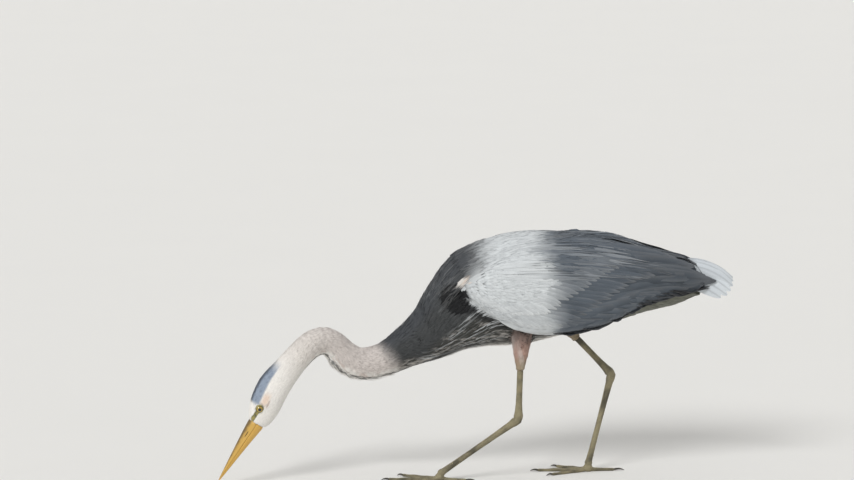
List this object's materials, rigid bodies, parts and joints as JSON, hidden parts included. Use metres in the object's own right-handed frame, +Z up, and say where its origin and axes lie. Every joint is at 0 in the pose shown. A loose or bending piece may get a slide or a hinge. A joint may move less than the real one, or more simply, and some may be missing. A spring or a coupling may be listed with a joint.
{
  "type": "great blue heron figure",
  "caption": "Great blue heron walking with its body level, neck in a shallow S and bill pointed down at the ground, as a still life-size model.",
  "frame": {"origin": "middle of the bounding box's foot, on the ground", "axes": "+X from bill to tail, +Y to the bird's right side, +Z up"},
  "size_m": [0.9914, 0.2096, 0.4809],
  "materials": {
    "plumage_grey": "soft, lightly sheened feathers",
    "plumage_neck": "soft feathers",
    "plumage_head": "short smooth feathers",
    "plumage_thigh": "short soft feathers",
    "flight_feathers": "firm, lightly sheened feathers",
    "bill": "satin horn",
    "eye": "wet gloss",
    "leg": "satin scales",
    "claw": "satin horn"
  },
  "bodies": {
    "root": {"trunk": "plumage_grey", "neck_base": "plumage_neck", "neck_lower": "plumage_neck", "neck_middle": "plumage_neck", "neck_upper": "plumage_neck", "head": "plumage_head", "bill_upper": "bill", "bill_lower": "bill", "eye_left": "eye", "eye_right": "eye", "wing_left": "plumage_grey", "wing_right": "plumage_grey", "flight_left": "flight_feathers", "flight_right": "flight_feathers", "tail": "flight_feathers", "thigh_left": "plumage_thigh", "thigh_right": "plumage_thigh", "shank_left": "leg", "shank_right": "leg", "tarsus_left": "leg", "tarsus_right": "leg", "foot_left": "leg", "foot_right": "leg", "claw_left_inner": "claw", "claw_left_middle": "claw", "claw_left_outer": "claw", "claw_left_hind": "claw", "claw_right_inner": "claw", "claw_right_middle": "claw", "claw_right_outer": "claw", "claw_right_hind": "claw"}
  },
  "joints": []
}
